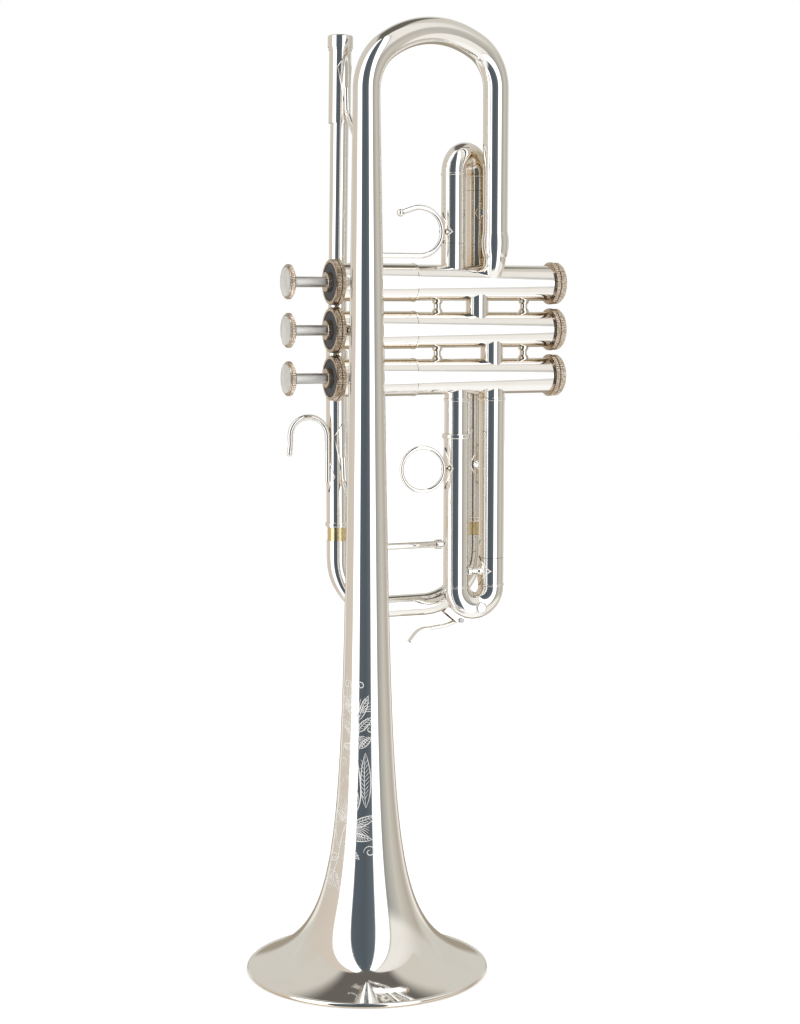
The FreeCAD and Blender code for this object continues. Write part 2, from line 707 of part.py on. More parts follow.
def main_slide_inners():
    """Brass inner tubes running up inside their outer tubes."""
    tubes = []
    for x, radius in ((SLIDE_UPPER_X, UPPER_INNER_R), (SLIDE_LOWER_X, LOWER_INNER_R)):
        foot = Vector(x, LEAD_Y, SLIDE_RING_Z - SLIDE_DRAW - 5)
        top = Vector(x, LEAD_Y, SLIDE_RING_Z + 61)
        tubes.append(ring(radius, radius - 0.45, foot, top))
    return Part.makeCompound(tubes)


def main_slide_ferrules():
    """Sleeves joining the inner tubes to the bow."""
    sleeves = []
    top = SLIDE_RING_Z - SLIDE_DRAW
    for x, outer, inner, drop in ((SLIDE_UPPER_X, 5.6, UPPER_INNER_R, 9.7),
                                  (SLIDE_LOWER_X, LOWER_OUTER_R, LOWER_INNER_R, 7.7)):
        low = Vector(x, LEAD_Y, top - drop)
        middle = Vector(x, LEAD_Y, top - 5)
        high = Vector(x, LEAD_Y, top)
        sleeves.append(fuse([ring(outer, inner, middle, high), ring(outer, inner - 0.45, low, middle)]))
    return Part.makeCompound(sleeves)


def main_slide_brace():
    """Rod across the slide with a turned collar and pointed foot at each leg."""
    z = 211.6
    left = Vector(SLIDE_UPPER_X, LEAD_Y, z)
    right = Vector(SLIDE_LOWER_X, LEAD_Y, z)
    rod = cylinder(1.75, left + X_DIR * 5, right - X_DIR * 6)
    collars = []
    for start, way, size in ((left, X_DIR, 5.6), (right, -X_DIR, LOWER_OUTER_R)):
        collars.append(cylinder(2.7, start + way * (size - 1), start + way * (size + 1.6)))
        collars.append(cylinder(2.3, start + way * (size + 2.4), start + way * (size + 3.6)))
    collars.append(cylinder(2.6, Vector(61.5, LEAD_Y, z), Vector(65.0, LEAD_Y, z)))
    body = fuse([rod] + collars)
    body = body.cut(cylinder(5.6, left - Z_DIR * 10, left + Z_DIR * 10))
    return body.cut(cylinder(LOWER_OUTER_R, right - Z_DIR * 10, right + Z_DIR * 10))


def bow_point(angle, offset):
    """Point off the slide bow's lower corner; angle in degrees below the level."""
    centre = Vector(SLIDE_LOWER_X - LOWER_BEND_R, LEAD_Y, BOW_LEVEL + LOWER_BEND_R)
    a = math.radians(angle)
    reach = LOWER_BEND_R + offset
    return centre + Vector(math.cos(a) * reach, 0, -math.sin(a) * reach)


def off_bow(radius, angle, near, far):
    """Round stub standing off the slide bow between two distances from its axis."""
    return cylinder(radius, bow_point(angle, near), bow_point(angle, far))


def water_key_saddle():
    """Two-eared bracket on the slide bow, and the drain nipple beyond it."""
    base = bow_point(68.0, 5.0)
    reach = (WATER_KEY_PIVOT - base).Length
    way = (WATER_KEY_PIVOT - base).normalize()
    pieces = []
    for near, far in ((-3.4, -2.4), (2.4, 3.4)):
        web = Part.makeBox(reach, far - near, 4.4, Vector(0, near, -2.2))
        pieces.append(oriented(web, base, way.cross(Y_DIR) * -1, way))
        pieces.append(cylinder(2.2, WATER_KEY_PIVOT + Y_DIR * near, WATER_KEY_PIVOT + Y_DIR * far))
    tie = Part.makeBox(2.0, 6.8, 4.4, Vector(0.8, -3.4, -2.2))
    pieces.append(oriented(tie, base, way.cross(Y_DIR) * -1, way))
    bracket = fuse(pieces).cut(cylinder(0.75, WATER_KEY_PIVOT - Y_DIR * 5, WATER_KEY_PIVOT + Y_DIR * 5))
    nipple = off_bow(2.2, NIPPLE_ANGLE, 5.0, 8.6).cut(off_bow(1.1, NIPPLE_ANGLE, 4.0, 9.0))
    keep_out = wire_rod(main_bow_path(), BOW_UPPER_R, BOW_LOWER_R)
    return Part.makeCompound([bracket.cut(keep_out), nipple.cut(keep_out)])


def water_key_lever():
    """Curved key: finger blade, pivot sleeve and the cup that holds the cork."""
    sleeve = cylinder(1.7, WATER_KEY_PIVOT - Y_DIR * 2.1, WATER_KEY_PIVOT + Y_DIR * 2.1)
    blade_start = Vector(54.0, LEAD_Y, 165.2)
    bar = wire_rod(bent_wire([WATER_KEY_PIVOT, Vector(68.0, LEAD_Y, 166.6), blade_start], [12.0]), 1.15)
    edge = bent_wire([blade_start + Vector(3.0, 0, 0.4), Vector(52.0, LEAD_Y, 165.2),
                      Vector(46.6, LEAD_Y, 158.8)], [9.0])
    section = Part.makePolygon([Vector(57.0, LEAD_Y + w, 165.6 + h) for w, h in
                                ((-2.4, -0.8), (2.4, -0.8), (2.4, 0.8), (-2.4, 0.8), (-2.4, -0.8))])
    blade = edge.makePipeShell([section], True, False)
    arm_end = bow_point(NIPPLE_ANGLE, 11.2)
    arm = wire_rod(bent_wire([WATER_KEY_PIVOT, Vector(81.5, LEAD_Y, 172.0), arm_end], [5.0]), 1.15)
    cup = off_bow(2.6, NIPPLE_ANGLE, 10.2, 11.8)
    body = fuse([sleeve, bar, blade, arm, cup])
    body = body.cut(off_bow(2.2, NIPPLE_ANGLE, 9.0, 10.7))
    return body.cut(cylinder(0.75, WATER_KEY_PIVOT - Y_DIR * 5, WATER_KEY_PIVOT + Y_DIR * 5))


def water_key_cork():
    return off_bow(2.2, NIPPLE_ANGLE, 8.65, 10.7)


def water_key_screw():
    shank = cylinder(0.7, WATER_KEY_PIVOT - Y_DIR * 3.5, WATER_KEY_PIVOT + Y_DIR * 3.4)
    head = cylinder(1.5, WATER_KEY_PIVOT - Y_DIR * 4.3, WATER_KEY_PIVOT - Y_DIR * 3.45)
    slot = Part.makeBox(4.0, 0.4, 0.4, WATER_KEY_PIVOT + Vector(-2.0, -4.4, -0.2))
    return fuse([shank, head]).cut(slot)


def coil(radius, wire_r, turns, length):
    """Helical wire standing on Z."""
    helix = Part.makeHelix(length / turns, length, radius)
    section = Part.Wire(Part.makeCircle(wire_r, Vector(radius, 0, 0), Y_DIR))
    return Part.Wire(helix.Edges).makePipeShell([section], True, True)


def water_key_spring():
    """Coils each side of the lever, round its pivot sleeve, that keep the cork shut."""
    coils = []
    for start in (-1.95, 1.45):
        side = coil(1.95, 0.2, 1, 0.45)
        side.Placement = Placement(WATER_KEY_PIVOT + Y_DIR * start, Rotation(Z_DIR, Y_DIR))
        coils.append(side)
    return Part.makeCompound(coils)


# ------------------------------------------------------------------ third valve slide

def third_slide_fixed_inner():
    """Fixed inner tube of the near leg, stepped up to a ferrule below the casing."""
    x = THIRD_UPPER_X
    top = on_valve(3, x)
    shoulder = Vector(x, VALVE_Y, THIRD_RING_Z)
    foot = Vector(x, VALVE_Y, THIRD_RING_Z - 62)
    collar = bead(6.75, 6.35, Vector(x, VALVE_Y, 291.2), Z_DIR, 1.6)
    body = fuse([cylinder(6.35, shoulder, top), cylinder(THIRD_INNER_R, foot, shoulder), collar])
    body = body.cut(cylinder(THIRD_INNER_R - TUBE_WALL, foot, top))
    return body.cut(cylinder(CASING_R, on_valve(3, 40), on_valve(3, 115)))


def third_slide_fixed_outer():
    x = THIRD_LOWER_X
    top = on_valve(3, x)
    foot = Vector(x, VALVE_Y, THIRD_SEAM_Z)
    collar = bead(7.15, THIRD_OUTER_R, Vector(x, VALVE_Y, 291.2), Z_DIR, 1.6)
    body = fuse([cylinder(THIRD_OUTER_R, foot, top), collar])
    body = body.cut(cylinder(THIRD_INNER_R + SLIDE_GAP, foot, Vector(x, VALVE_Y, 288)))
    body = body.cut(cylinder(PORT_R, foot, top))
    return body.cut(cylinder(CASING_R, on_valve(3, 40), on_valve(3, 115)))


def third_slide_outer_sleeve():
    """Moving outer tube of the near leg, ringed at its mouth."""
    foot = Vector(THIRD_UPPER_X, VALVE_Y, THIRD_BOW_Z + CROOK_SOCKET)
    top = Vector(THIRD_UPPER_X, VALVE_Y, THIRD_RING_Z - SEAM_GAP)
    tube = ring(THIRD_OUTER_R, THIRD_INNER_R + SLIDE_GAP, foot, top)
    return fuse([tube, bead(7.6, THIRD_OUTER_R, top - Z_DIR * 1.4, Z_DIR, 2.6)])


def third_slide_inner_tube():
    """Moving inner tube of the far leg with the ferrule that carries the bow."""
    foot = Vector(THIRD_LOWER_X, VALVE_Y, THIRD_BOW_Z + CROOK_SOCKET)
    seam = Vector(THIRD_LOWER_X, VALVE_Y, THIRD_SEAM_Z - SEAM_GAP)
    top = Vector(THIRD_LOWER_X, VALVE_Y, THIRD_SEAM_Z + 62)
    inner = ring(THIRD_INNER_R, THIRD_INNER_R - TUBE_WALL, foot, top)
    return fuse([inner, ring(THIRD_OUTER_R, THIRD_INNER_R - TUBE_WALL, foot, seam)])


def half_turn(reach, radius):
    """Solid half ring standing on XY, over the origin."""
    leg = Part.Face(Part.Wire(Part.makeCircle(radius, Vector(-reach, 0, 0), Z_DIR)))
    return leg.revolve(Vector(0, 0, 0), Y_DIR, 180)


def crook_beads(reach, radius, tube_radius):
    """Half-round rings round a crook's two sockets."""
    return [bead(radius, tube_radius - 0.1, Vector(x, 0, -CROOK_SOCKET / 2), Z_DIR, 1.2)
            for x in (-reach, reach)]


def half_bow(first, second, away, radius, bore, trim):
    """Half-round crook between two parallel legs; its trim is drawn with the crown towards Z."""
    reach = (second - first).Length / 2
    core = half_turn(reach, bore)
    sockets = [ring(radius, bore, Vector(x, 0, -CROOK_SOCKET), Vector(x, 0, 0)) for x in (-reach, reach)]
    body = fuse([half_turn(reach, radius).cut(core)] + sockets + [piece.cut(core) for piece in trim])
    return oriented(body, (first + second) * 0.5, away, (second - first).normalize())


def third_slide_bow():
    near = Vector(THIRD_UPPER_X, VALVE_Y, THIRD_BOW_Z)
    far = Vector(THIRD_LOWER_X, VALVE_Y, THIRD_BOW_Z)
    beads = crook_beads((THIRD_LOWER_X - THIRD_UPPER_X) / 2, 7.1, THIRD_OUTER_R)
    boss = cylinder(3.1, Vector(1.6, 5.2, 10.4), Vector(1.6, 7.8, 10.4))
    face = [edge for edge in boss.Edges if edge.BoundBox.YMin > 7.7]
    boss = boss.makeFillet(1.0, face)
    return half_bow(near, far, -Z_DIR, THIRD_OUTER_R, THIRD_INNER_R - TUBE_WALL, [boss] + beads)


def third_slide_brace():
    """Turned post between the slide's two legs, with pointed feet."""
    z = 199.2
    near = Vector(THIRD_UPPER_X, VALVE_Y - 0.5, z)
    far = Vector(THIRD_LOWER_X, VALVE_Y - 0.5, z)
    post = spool(near + X_DIR * 6.2, far - X_DIR * 6.2, 2.9, 1.9)
    kite = pointed_flange(THIRD_OUTER_R, 8.0, 8.0, 6.3)
    foot = oriented(kite, Vector(THIRD_LOWER_X, VALVE_Y, z), Z_DIR, -X_DIR)
    body = fuse([post, foot])
    for x in (THIRD_UPPER_X, THIRD_LOWER_X):
        axis = Vector(x, VALVE_Y, z)
        body = body.cut(cylinder(THIRD_OUTER_R, axis - Z_DIR * 10, axis + Z_DIR * 10))
    return body


def finger_ring():
    """Ring for the left hand, soldered by a pointed flange to the moving outer tube."""
    centre = Vector(42.6, 27.0, 255.0)
    outward = Vector(-0.99, -0.12, 0).normalize()
    plane = Vector(-0.14, -0.99, 0).normalize()
    hoop = Part.makeTorus(11.5, 1.1, Vector(0, 0, 0), Z_DIR)
    hoop.Placement = Placement(centre, Rotation(Z_DIR, plane))
    tube = Vector(THIRD_UPPER_X, VALVE_Y, 255.0)
    kite = oriented(pointed_flange(THIRD_OUTER_R, 11.0, 11.0, 4.9), tube, Z_DIR, outward)
    stub = cylinder(1.5, centre + Vector(11.4, -1.6, 0), tube - X_DIR * 5)
    body = fuse([hoop, kite, stub])
    return body.cut(cylinder(THIRD_OUTER_R, tube - Z_DIR * 20, tube + Z_DIR * 15))


# ------------------------------------------------------------------ first valve slide

def first_slide_fixed_near():
    """Fixed inner tube of the near leg with the ferrule on the casing."""
    axis = on_valve(1, FIRST_NEAR_X)
    shoulder = Vector(FIRST_NEAR_X, VALVE_Y, FIRST_SEAM_Z)
    top = Vector(FIRST_NEAR_X, VALVE_Y, FIRST_BOW_Z - 4)
    body = fuse([cylinder(FIRST_OUTER_R, axis, shoulder), cylinder(FIRST_INNER_R, shoulder, top)])
    body = body.cut(cylinder(FIRST_INNER_R - TUBE_WALL, axis, top))
    return body.cut(cylinder(CASING_R, on_valve(1, 40), on_valve(1, 115)))


def first_slide_fixed_far():
    """Fixed outer tube of the far leg, let into the casing's upper flank."""
    axis = Vector(FIRST_FAR_X, FIRST_FAR_Y, valve_z(1))
    seam = Vector(FIRST_FAR_X, FIRST_FAR_Y, FIRST_FAR_SEAM_Z)
    body = cylinder(FIRST_OUTER_R, axis, seam)
    body = body.cut(cylinder(FIRST_INNER_R + SLIDE_GAP, axis + Z_DIR * 16, seam))
    body = body.cut(cylinder(PORT_R, axis, seam))
    return body.cut(cylinder(CASING_R, on_valve(1, 40), on_valve(1, 115)))


def first_slide_near_sleeve():
    foot = Vector(FIRST_NEAR_X, VALVE_Y, FIRST_SEAM_Z + SEAM_GAP)
    top = Vector(FIRST_NEAR_X, VALVE_Y, FIRST_BOW_Z - CROOK_SOCKET)
    return ring(FIRST_OUTER_R, FIRST_INNER_R + SLIDE_GAP, foot, top)


def first_slide_far_inner():
    foot = Vector(FIRST_FAR_X, FIRST_FAR_Y, FIRST_SEAM_Z + 2)
    seam = Vector(FIRST_FAR_X, FIRST_FAR_Y, FIRST_FAR_SEAM_Z + SEAM_GAP)
    top = Vector(FIRST_FAR_X, FIRST_FAR_Y, FIRST_BOW_Z - CROOK_SOCKET)
    bore = FIRST_INNER_R - TUBE_WALL
    return fuse([ring(FIRST_INNER_R, bore, foot, top), ring(FIRST_OUTER_R, bore, seam, top)])


def first_slide_bow():
    near = Vector(FIRST_NEAR_X, VALVE_Y, FIRST_BOW_Z)
    far = Vector(FIRST_FAR_X, FIRST_FAR_Y, FIRST_BOW_Z)
    beads = crook_beads((far - near).Length / 2, 6.65, FIRST_OUTER_R)
    return half_bow(near, far, Z_DIR, FIRST_OUTER_R, FIRST_INNER_R - TUBE_WALL, beads)


def thumb_hook():
    """U-shaped thumb saddle lying against the near leg, open towards the buttons."""
    y = 25.4
    left = 16.0
    right = 52.6
    low = 366.4
    high = 391.2
    corners = [Vector(left, y, low), Vector(right, y, low), Vector(right, y, high),
               Vector(38.0, y, high), Vector(29.0, y, high - 3.0)]
    path = bent_wire(corners, [12.35, 12.35, 12.0])
    wire = wire_rod(path, 1.3)
    tip = Part.makeSphere(1.9, corners[-1])
    leg = Vector(FIRST_NEAR_X, VALVE_Y, 379.0)
    outward = Vector(-0.99, -0.12, 0).normalize()
    plate = oriented(pointed_flange(FIRST_OUTER_R, 10.0, 5.7, 5.4), leg, Z_DIR, outward)
    stub = cylinder(1.6, Vector(right, y, 379.0), leg - X_DIR * 5)
    body = fuse([wire, tip, plate, stub])
    return body.cut(cylinder(FIRST_OUTER_R, leg - Z_DIR * 20, leg + Z_DIR * 20))


# ------------------------------------------------------------------ second valve slide

def second_slide_fixed():
    tubes = []
    for x in SECOND_X:
        axis = on_valve(2, x)
        seam = Vector(x, SECOND_SEAM_Y, valve_z(2))
        tube = cylinder(FIRST_OUTER_R, axis, seam)
        tube = tube.cut(cylinder(FIRST_INNER_R + SLIDE_GAP, axis + Y_DIR * 11, seam))
        tube = tube.cut(cylinder(PORT_R, axis, seam))
        tubes.append(tube.cut(cylinder(CASING_R, on_valve(2, 40), on_valve(2, 115))))
    return Part.makeCompound(tubes)


def second_slide_inners():
    tubes = []
    bore = FIRST_INNER_R - TUBE_WALL
    for x in SECOND_X:
        foot = Vector(x, VALVE_Y + 12, valve_z(2))
        seam = Vector(x, SECOND_SEAM_Y + SEAM_GAP, valve_z(2))
        end = Vector(x, SECOND_BOW_Y - CROOK_SOCKET, valve_z(2))
        tubes.append(fuse([ring(FIRST_INNER_R, bore, foot, end), ring(FIRST_OUTER_R, bore, seam, end)]))
    return Part.makeCompound(tubes)


def second_slide_bow():
    """Crook with a turned pull knob on its crown."""
    near = Vector(SECOND_X[0], SECOND_BOW_Y, valve_z(2))
    far = Vector(SECOND_X[1], SECOND_BOW_Y, valve_z(2))
    crown = Z_DIR * ((SECOND_X[1] - SECOND_X[0]) / 2 + FIRST_OUTER_R - 0.6)
    neck = cylinder(1.8, crown, crown + Z_DIR * 3)
    knob = Part.makeSphere(3.2, crown + Z_DIR * 5, Y_DIR)
    return half_bow(near, far, Y_DIR, FIRST_OUTER_R, FIRST_INNER_R - TUBE_WALL, [neck, knob])


os.makedirs("parts", exist_ok=True)

save(bell(), "bell")
save(bell_rim_wire(), "bell_rim_wire")
save(bell_tail_elbow(), "bell_tail_elbow")
save(mouthpiece_receiver(), "mouthpiece_receiver")
save(leadpipe(), "leadpipe")
save(leadpipe_braces(), "leadpipe_braces")
save(bell_valve_brace(), "bell_valve_brace")
save(bell_tail_brace(), "bell_tail_brace")
save(slide_tube_brace(), "slide_tube_brace")
save(pinky_hook(), "pinky_hook")
save(main_slide_upper_outer(), "main_slide_upper_outer")
save(main_slide_lower_outer(), "main_slide_lower_outer")
save(spacer_posts(), "valve_spacer_posts")
save(crossover_tubes(), "crossover_tubes")

for maker, node in ((top_cap, "valve_top_caps"), (bottom_cap, "valve_bottom_caps"),
                    (cap_felt, "valve_cap_felts"), (cap_cork, "valve_cap_corks"),
                    (valve_guide, "valve_guides")):
    part = maker()
    save(Part.makeCompound([at_valve(part, number) for number in (1, 2, 3)]), node)

for valve in (1, 2, 3):
    save(valve_casing(valve), "valve_casing_%d" % valve)
    save(piston(valve), "piston_%d" % valve)
    for maker, node in ((stem, "valve_stem"), (button, "finger_button"), (pearl, "button_pearl"),
                        (valve_spring, "valve_spring")):
        save(at_valve(maker(), valve), "%s_%d" % (node, valve))

save(main_slide_bow(), "main_slide_bow")
save(main_slide_inners(), "main_slide_inners")
save(main_slide_ferrules(), "main_slide_ferrules")
save(main_slide_brace(), "main_slide_brace")
save(water_key_saddle(), "water_key_saddle")
save(water_key_lever(), "water_key_lever")
save(water_key_cork(), "water_key_cork")
save(water_key_screw(), "water_key_screw")
save(water_key_spring(), "water_key_spring")

save(third_slide_fixed_inner(), "third_slide_fixed_inner")
save(third_slide_fixed_outer(), "third_slide_fixed_outer")
save(third_slide_outer_sleeve(), "third_slide_outer_sleeve")
save(third_slide_inner_tube(), "third_slide_inner_tube")
save(third_slide_bow(), "third_slide_bow")
save(third_slide_brace(), "third_slide_brace")
save(finger_ring(), "third_slide_finger_ring")

save(Part.makeCompound([first_slide_fixed_near(), first_slide_fixed_far()]), "first_slide_fixed")
save(Part.makeCompound([first_slide_near_sleeve(), first_slide_far_inner()]), "first_slide_legs")
save(first_slide_bow(), "first_slide_bow")
save(thumb_hook(), "first_slide_thumb_hook")

save(second_slide_fixed(), "second_slide_fixed")
save(second_slide_inners(), "second_slide_inners")
save(second_slide_bow(), "second_slide_bow")
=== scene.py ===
import json
import math
import random

import bmesh
import bpy
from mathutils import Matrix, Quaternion, Vector


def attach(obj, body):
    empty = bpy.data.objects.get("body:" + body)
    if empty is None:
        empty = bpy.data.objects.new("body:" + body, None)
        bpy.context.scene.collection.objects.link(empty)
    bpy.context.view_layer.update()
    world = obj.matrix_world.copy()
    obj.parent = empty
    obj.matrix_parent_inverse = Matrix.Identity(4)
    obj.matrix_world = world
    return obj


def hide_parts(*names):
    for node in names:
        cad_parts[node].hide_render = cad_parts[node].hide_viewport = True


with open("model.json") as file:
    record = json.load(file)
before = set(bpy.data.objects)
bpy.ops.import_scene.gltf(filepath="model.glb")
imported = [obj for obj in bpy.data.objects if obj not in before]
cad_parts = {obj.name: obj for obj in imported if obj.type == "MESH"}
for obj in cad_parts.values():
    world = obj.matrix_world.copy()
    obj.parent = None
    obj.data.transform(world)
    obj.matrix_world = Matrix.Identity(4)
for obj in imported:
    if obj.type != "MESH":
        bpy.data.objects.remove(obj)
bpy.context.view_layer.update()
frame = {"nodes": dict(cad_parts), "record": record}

nodes = frame["nodes"]
scene = bpy.context.scene
scene.view_settings.view_transform = "Standard"
scene.view_settings.look = "None"

# ---------------------------------------------------------------- camera

YAW = math.radians(22.92)
PITCH = math.radians(5.972)
ROLL = math.radians(0.066)
EYE = Vector((-0.3701, -0.9184, 0.3404))
LENS = 69.21

right = Vector((math.cos(YAW), -math.sin(YAW), 0))
ahead = Vector((math.sin(YAW), math.cos(YAW), 0))
look = ahead * math.cos(PITCH) - Vector((0, 0, 1)) * math.sin(PITCH)

camera_data = bpy.data.cameras.new("photo_camera")
camera_data.lens = LENS
camera_data.sensor_width = 36
camera_data.sensor_fit = "AUTO"
camera_data.clip_start = 0.05
camera_data.clip_end = 100
camera = bpy.data.objects.new("photo_camera", camera_data)
scene.collection.objects.link(camera)
camera.location = EYE
camera.rotation_mode = "QUATERNION"
camera.rotation_quaternion = look.to_track_quat("-Z", "Y") @ Quaternion((0, 0, 1), ROLL)
scene.camera = camera


# ---------------------------------------------------------------- node helpers

class Graph:
    """Small helper for building a node tree."""

    def __init__(self, tree):
        self.tree = tree
        tree.nodes.clear()

    def add(self, kind, **settings):
        node = self.tree.nodes.new(kind)
        for key, value in settings.items():
            setattr(node, key, value)
        return node

    def link(self, source, target):
        self.tree.links.new(source, target)

    def set(self, socket, value):
        if hasattr(value, "is_output"):
            self.link(value, socket)
        else:
            socket.default_value = value

    def math(self, operation, first, second=0.0):
        node = self.add("ShaderNodeMath", operation=operation)
        for socket, value in zip(node.inputs, (first, second)):
            self.set(socket, value)
        return node.outputs[0]

    def ramp(self, factor, stops):
        node = self.add("ShaderNodeValToRGB")
        self.set(node.inputs[0], factor)
        elements = node.color_ramp.elements
        while len(elements) > 1:
            elements.remove(elements[-1])
        elements[0].position = stops[0][0]
        elements[0].color = (*stops[0][1], 1)
        for place, colour in stops[1:]:
            elements.new(place).color = (*colour, 1)
        return node.outputs[0]

    def mix(self, factor, first, second):
        node = self.add("ShaderNodeMix", data_type="RGBA")
        self.set(node.inputs["Factor"], factor)
        for socket, value in ((node.inputs[6], first), (node.inputs[7], second)):
            if isinstance(value, tuple):
                value = (*value, 1)
            self.set(socket, value)
        return node.outputs[2]

    def range(self, value, low, high, out_low, out_high):
        node = self.add("ShaderNodeMapRange", interpolation_type="SMOOTHSTEP")
        for socket, number in zip(node.inputs, (value, low, high, out_low, out_high)):
            self.set(socket, number)
        return node.outputs[0]

    def noise(self, scale, detail=3.0, roughness=0.5, stretch=(1, 1, 1)):
        place = self.add("ShaderNodeTexCoord").outputs["Object"]
        mapping = self.add("ShaderNodeMapping")
        self.link(place, mapping.inputs["Vector"])
        mapping.inputs["Scale"].default_value = stretch
        node = self.add("ShaderNodeTexNoise")
        self.link(mapping.outputs[0], node.inputs["Vector"])
        node.inputs["Scale"].default_value = scale
        node.inputs["Detail"].default_value = detail
        node.inputs["Roughness"].default_value = roughness
        return node.outputs[0]


# ---------------------------------------------------------------- studio

WHITE_WALL = (1.6, 1.6, 1.6)
DARK_GAP = (0.098, 0.122, 0.142)
DARK_GAP_MIDDLE = (0.088, 0.108, 0.126)
DARK_GAP_RIGHT = (0.13, 0.152, 0.17)
ROOM = (0.62, 0.56, 0.485)
BACK_CORNER = (0.36, 0.315, 0.25)
BACK_SCREEN = (0.86, 0.82, 0.76)
LOWER_PANEL = (0.90, 0.87, 0.82)
UPPER_BESIDE = (0.86, 0.83, 0.78)
UPPER_BEHIND = (0.63, 0.61, 0.555)
CEILING_SIDES = (0.64, 0.605, 0.54)
CEILING_MIDDLE = (0.135, 0.125, 0.11)
FLOOR_LIGHT = (1.0, 0.99, 0.97)


def azimuth(degrees):
    """Place round the horizon, from 0 to 1, of an angle to the right of the camera."""
    return degrees / 360 + 0.5


def elevation(degrees):
    """Place from straight down, 0, to straight up, 1, of an angle above the horizon."""
    return degrees / 180 + 0.5


def sky_directions(g):
    """How far a direction points to the right and to the camera, and its azimuth and elevation."""
    way = g.add("ShaderNodeTexCoord").outputs["Generated"]

    def along(direction):
        dot = g.add("ShaderNodeVectorMath", operation="DOT_PRODUCT")
        g.link(way, dot.inputs[0])
        dot.inputs[1].default_value = direction
        return dot.outputs["Value"]

    side = along(right)
    back = along(-ahead)
    up = along((0, 0, 1))
    turn = g.math("DIVIDE", g.math("ARCTAN2", side, back), 2 * math.pi)
    turn = g.math("ADD", turn, 0.5)
    lift = g.math("DIVIDE", g.math("ARCSINE", up), math.pi)
    lift = g.math("ADD", lift, 0.5)
    return side, back, turn, lift


def studio_walls(g, turn):
    """Colour round the tent: white walls left and right of the camera, a dark gap between them."""
    return g.ramp(turn, [
        (azimuth(-180), BACK_CORNER),
        (azimuth(-154), BACK_CORNER),
        (azimuth(-150), BACK_SCREEN),
        (azimuth(-138), BACK_SCREEN),
        (azimuth(-132), ROOM),
        (azimuth(-76), (0.66, 0.59, 0.51)),
        (azimuth(-73), WHITE_WALL),
        (azimuth(-38), WHITE_WALL),
        (azimuth(-35), DARK_GAP),
        (azimuth(-5), DARK_GAP_MIDDLE),
        (azimuth(19), DARK_GAP_RIGHT),
        (azimuth(22), WHITE_WALL),
        (azimuth(50), WHITE_WALL),
        (azimuth(53), (0.30, 0.295, 0.28)),
        (azimuth(62), (0.40, 0.39, 0.36)),
        (azimuth(88), (0.60, 0.565, 0.50)),
        (azimuth(120), (0.46, 0.42, 0.36)),
        (azimuth(134), ROOM),
        (azimuth(140), BACK_SCREEN),
        (azimuth(150), BACK_SCREEN),
        (azimuth(154), BACK_CORNER),
    ])


def lower_panel(g, turn, lift):
    """Where the bright panel below the horizon stands, to the right of the camera."""
    right_side = g.math("MULTIPLY", g.range(turn, azimuth(50), azimuth(56), 0.0, 1.0),
                        g.range(turn, azimuth(106), azimuth(120), 1.0, 0.0))
    sunk = g.range(lift, elevation(-23.4), elevation(-16.2), 1.0, 0.0)
    return g.math("MULTIPLY", sunk, right_side)


def upper_walls(g, back, turn, lift):
    """Where the paler tops of the side walls and of the back wall are."""
    beside = g.math("MAXIMUM", g.range(turn, azimuth(50), azimuth(58), 0.0, 1.0),
                    g.range(turn, azimuth(-140), azimuth(-100), 1.0, 0.0))
    raised = g.range(lift, elevation(14.4), elevation(28.8), 0.0, 1.0)
    behind = g.range(back, -0.72, -0.52, 1.0, 0.0)
    above_horizon = g.range(lift, elevation(-0.9), elevation(7.2), 0.0, 1.0)
    return g.math("MAXIMUM", g.math("MULTIPLY", raised, beside),
                  g.math("MULTIPLY", above_horizon, behind))


def overhead(g, back, lift):
    """Where the ceiling is: a small patch towards the camera that reaches lower at the back."""
    lifted = g.math("ADD", lift, g.range(back, -0.14, 0.06, 0.21, 0.0))
    return g.range(lifted, elevation(82.44), elevation(84.96), 0.0, 1.0)


def studio_colour(g):
    """Walls with their panels, then the ceiling and the floor."""
    side, back, turn, lift = sky_directions(g)
    off_front = g.math("ABSOLUTE", g.math("SUBTRACT", turn, 0.5))
    round_back = g.range(off_front, 75 / 360, 120 / 360, 0.0, 1.0)
    central = g.range(g.math("ABSOLUTE", side), 0.22, 0.36, 1.0, 0.0)
    colour = g.mix(lower_panel(g, turn, lift), studio_walls(g, turn), LOWER_PANEL)
    colour = g.mix(upper_walls(g, back, turn, lift), colour,
                   g.mix(round_back, UPPER_BESIDE, UPPER_BEHIND))
    colour = g.mix(overhead(g, back, lift), colour, g.mix(central, CEILING_SIDES, CEILING_MIDDLE))
    floor = g.range(lift, elevation(-62), elevation(-46), 1.0, 0.0)
    return g.mix(floor, colour, FLOOR_LIGHT)


def studio_world():
    """Light tent, seen by the camera itself as plain white."""
    world = bpy.data.worlds.new("studio")
    scene.world = world
    world.use_nodes = True
    g = Graph(world.node_tree)
    seen = g.add("ShaderNodeBackground")
    seen.inputs["Color"].default_value = (1, 1, 1, 1)
    seen.inputs["Strength"].default_value = 1.0
    lit = g.add("ShaderNodeBackground")
    g.link(studio_colour(g), lit.inputs["Color"])
    ray = g.add("ShaderNodeLightPath")
    either = g.add("ShaderNodeMixShader")
    g.link(ray.outputs["Is Camera Ray"], either.inputs[0])
    g.link(lit.outputs[0], either.inputs[1])
    g.link(seen.outputs[0], either.inputs[2])
    out = g.add("ShaderNodeOutputWorld")
    g.link(either.outputs[0], out.inputs["Surface"])


FLOOR_RADIUS = 4.0
FLOOR_DROP = 0.0002


